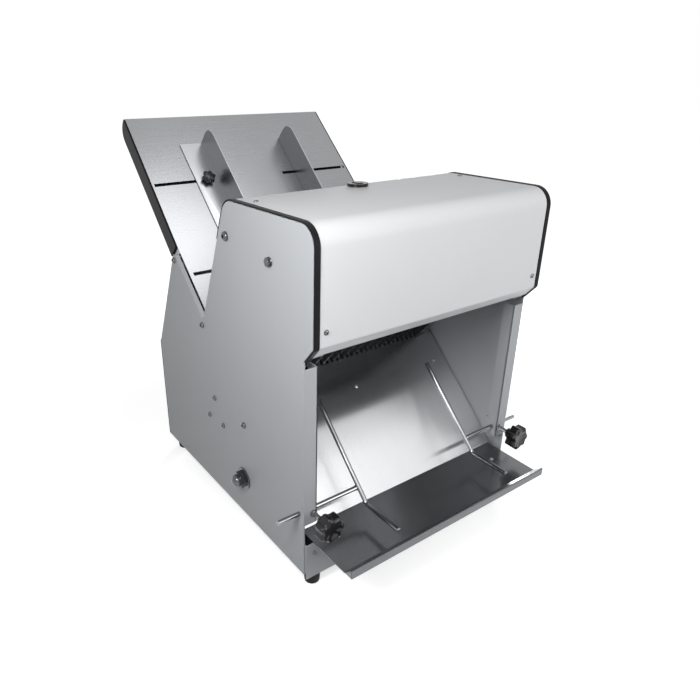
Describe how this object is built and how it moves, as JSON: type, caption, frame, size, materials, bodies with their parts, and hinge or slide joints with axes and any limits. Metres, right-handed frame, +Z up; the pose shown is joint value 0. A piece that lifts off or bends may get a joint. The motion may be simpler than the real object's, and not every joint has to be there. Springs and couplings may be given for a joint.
{
  "type": "bread slicing machine",
  "caption": "Bench bread slicer with a sloping infeed table and guides, two reciprocating blade frames under a bent sheet cover, a polished outfeed plate, and a tray with clamped guide rods.",
  "frame": {"origin": "middle of the bounding box in width and depth, on the floor under the feet", "axes": "+Z up, +Y from the outfeed tray at the front to the infeed table at the rear, +X to the right when facing the outfeed side"},
  "size_m": [0.56, 0.7619, 0.6812],
  "materials": {
    "panel_paint": "satin light grey sheet steel",
    "cover_paint": "satin pale grey sheet steel",
    "black_trim": "matt black edge moulding",
    "satin_steel": "satin stainless sheet",
    "mirror_steel": "polished stainless sheet",
    "tray_coat": "dark glossy grey sheet",
    "chrome": "polished chrome",
    "black_rubber": "matt black rubber",
    "knob_plastic": "glossy black plastic",
    "nylon": "off-white nylon",
    "cast_iron": "dark machined iron",
    "motor_paint": "dark grey painted casting",
    "blade_steel": "bright ground steel",
    "belt_rubber": "black rubber belt"
  },
  "bodies": {
    "chassis": {"side_panel_left": "panel_paint", "side_panel_right": "panel_paint", "edge_trim_left": "black_trim", "edge_trim_right": "black_trim", "rear_edge_trim_left": "black_trim", "rear_edge_trim_right": "black_trim", "top_cover": "cover_paint", "switch_bezel": "knob_plastic", "infeed_table": "satin_steel", "table_trim_left": "black_trim", "table_trim_right": "black_trim", "table_bolt_lower_left": "chrome", "table_bolt_upper_left": "chrome", "table_bolt_lower_right": "chrome", "table_bolt_upper_right": "chrome", "plate_bolt_left": "chrome", "plate_bolt_right": "chrome", "outfeed_plate": "mirror_steel", "outfeed_tray": "tray_coat", "base_pan": "panel_paint", "rear_panel": "panel_paint", "foot_front_left": "black_rubber", "foot_rear_left": "black_rubber", "foot_front_right": "black_rubber", "foot_rear_right": "black_rubber", "upper_tie_rod": "chrome", "rear_cross_bar": "chrome", "motor_hinge_rod": "chrome", "motor_cradle": "cast_iron", "motor": "motor_paint", "drive_belt": "belt_rubber", "crank_bearing_left": "cast_iron", "crank_bearing_right": "cast_iron", "guide_block_lower_left": "nylon", "guide_block_upper_left": "nylon", "guide_block_lower_right": "nylon", "guide_block_upper_right": "nylon", "rod_clamp_block_left": "cast_iron", "rod_clamp_block_right": "cast_iron"},
    "motor_drive": {"motor_pulley": "cast_iron"},
    "crank": {"crankshaft": "cast_iron", "crank_pulley": "cast_iron"},
    "rod_a_left": {"connecting_rod_a_left": "cast_iron"},
    "rod_b_left": {"connecting_rod_b_left": "cast_iron"},
    "rod_a_right": {"connecting_rod_a_right": "cast_iron"},
    "rod_b_right": {"connecting_rod_b_right": "cast_iron"},
    "frame_a": {"blade_frame_a": "blade_steel"},
    "frame_b": {"blade_frame_b": "blade_steel"},
    "loaf_guide_left": {"infeed_guide_left": "satin_steel"},
    "loaf_guide_right": {"infeed_guide_right": "satin_steel"},
    "knob_lower_left": {"infeed_knob_lower_left": "knob_plastic"},
    "knob_upper_left": {"infeed_knob_upper_left": "knob_plastic"},
    "knob_lower_right": {"infeed_knob_lower_right": "knob_plastic"},
    "knob_upper_right": {"infeed_knob_upper_right": "knob_plastic"},
    "slice_guide_left": {"outfeed_guide_left": "chrome"},
    "slice_guide_right": {"outfeed_guide_right": "chrome"},
    "clamp_left": {"clamp_knob_left": "knob_plastic"},
    "clamp_right": {"clamp_knob_right": "knob_plastic"},
    "rocker": {"switch_rocker": "knob_plastic"}
  },
  "joints": [
    {"name": "motor_spin", "type": "hinge", "parent": "chassis", "child": "motor_drive", "pos_m": [0.186, 0.14597, 0.129], "axis": [1, 0, 0], "continuous": true},
    {"name": "crank_spin", "type": "hinge", "parent": "chassis", "child": "crank", "pos_m": [0, 0.01593, 0.20201], "axis": [1, 0, 0], "continuous": true},
    {"name": "rod_a_left_turn", "type": "hinge", "parent": "crank", "child": "rod_a_left", "pos_m": [-0.16, 0.02404, 0.20944], "axis": [1, 0, 0], "continuous": true},
    {"name": "rod_b_left_turn", "type": "hinge", "parent": "crank", "child": "rod_b_left", "pos_m": [-0.14, 0.00782, 0.19458], "axis": [1, 0, 0], "continuous": true},
    {"name": "rod_a_right_turn", "type": "hinge", "parent": "crank", "child": "rod_a_right", "pos_m": [0.16, 0.02404, 0.20944], "axis": [1, 0, 0], "continuous": true},
    {"name": "rod_b_right_turn", "type": "hinge", "parent": "crank", "child": "rod_b_right", "pos_m": [0.14, 0.00782, 0.19458], "axis": [1, 0, 0], "continuous": true},
    {"name": "frame_a_slide", "type": "slide", "parent": "chassis", "child": "frame_a", "axis": [0, -0.6756, 0.7373], "range_m": [-0.011, 0.011]},
    {"name": "frame_b_slide", "type": "slide", "parent": "chassis", "child": "frame_b", "axis": [0, -0.6756, 0.7373], "range_m": [-0.011, 0.011]},
    {"name": "loaf_guide_left_slide", "type": "slide", "parent": "chassis", "child": "loaf_guide_left", "axis": [1, 0, 0], "range_m": [-0.083, 0.05]},
    {"name": "loaf_guide_right_slide", "type": "slide", "parent": "chassis", "child": "loaf_guide_right", "axis": [1, 0, 0], "range_m": [-0.05, 0.083]},
    {"name": "knob_lower_left_turn", "type": "hinge", "parent": "loaf_guide_left", "child": "knob_lower_left", "pos_m": [-0.114, 0.10489, 0.4433], "axis": [0, -0.6756, 0.7373], "range_deg": [0, 360]},
    {"name": "knob_upper_left_turn", "type": "hinge", "parent": "loaf_guide_left", "child": "knob_upper_left", "pos_m": [-0.114, 0.25013, 0.57639], "axis": [0, -0.6756, 0.7373], "range_deg": [0, 360]},
    {"name": "knob_lower_right_turn", "type": "hinge", "parent": "loaf_guide_right", "child": "knob_lower_right", "pos_m": [0.114, 0.10489, 0.4433], "axis": [0, -0.6756, 0.7373], "range_deg": [0, 360]},
    {"name": "knob_upper_right_turn", "type": "hinge", "parent": "loaf_guide_right", "child": "knob_upper_right", "pos_m": [0.114, 0.25013, 0.57639], "axis": [0, -0.6756, 0.7373], "range_deg": [0, 360]},
    {"name": "slice_guide_left_slide", "type": "slide", "parent": "chassis", "child": "slice_guide_left", "axis": [1, 0, 0], "range_m": [-0.067, 0.03]},
    {"name": "slice_guide_right_slide", "type": "slide", "parent": "chassis", "child": "slice_guide_right", "axis": [1, 0, 0], "range_m": [-0.03, 0.052]},
    {"name": "clamp_left_turn", "type": "hinge", "parent": "chassis", "child": "clamp_left", "pos_m": [-0.222, -0.31703, 0.1535], "axis": [0, 1, 0], "range_deg": [0, 360]},
    {"name": "clamp_right_turn", "type": "hinge", "parent": "chassis", "child": "clamp_right", "pos_m": [0.222, -0.31703, 0.1535], "axis": [0, 1, 0], "range_deg": [0, 360]},
    {"name": "rocker_tilt", "type": "hinge", "parent": "chassis", "child": "rocker", "pos_m": [-0.008, -0.08875, 0.61648], "axis": [1, 0, 0], "range_deg": [-8, 8]}
  ],
  "couplings": [
    {"joint": "crank_spin", "follows": "motor_spin", "ratio": 0.42308},
    {"joint": "rod_a_left_turn", "follows": "motor_spin", "ratio": -0.42308},
    {"joint": "rod_b_left_turn", "follows": "motor_spin", "ratio": -0.42308},
    {"joint": "rod_a_right_turn", "follows": "motor_spin", "ratio": -0.42308},
    {"joint": "rod_b_right_turn", "follows": "motor_spin", "ratio": -0.42308},
    {"joint": "frame_b_slide", "follows": "frame_a_slide", "ratio": -1}
  ]
}
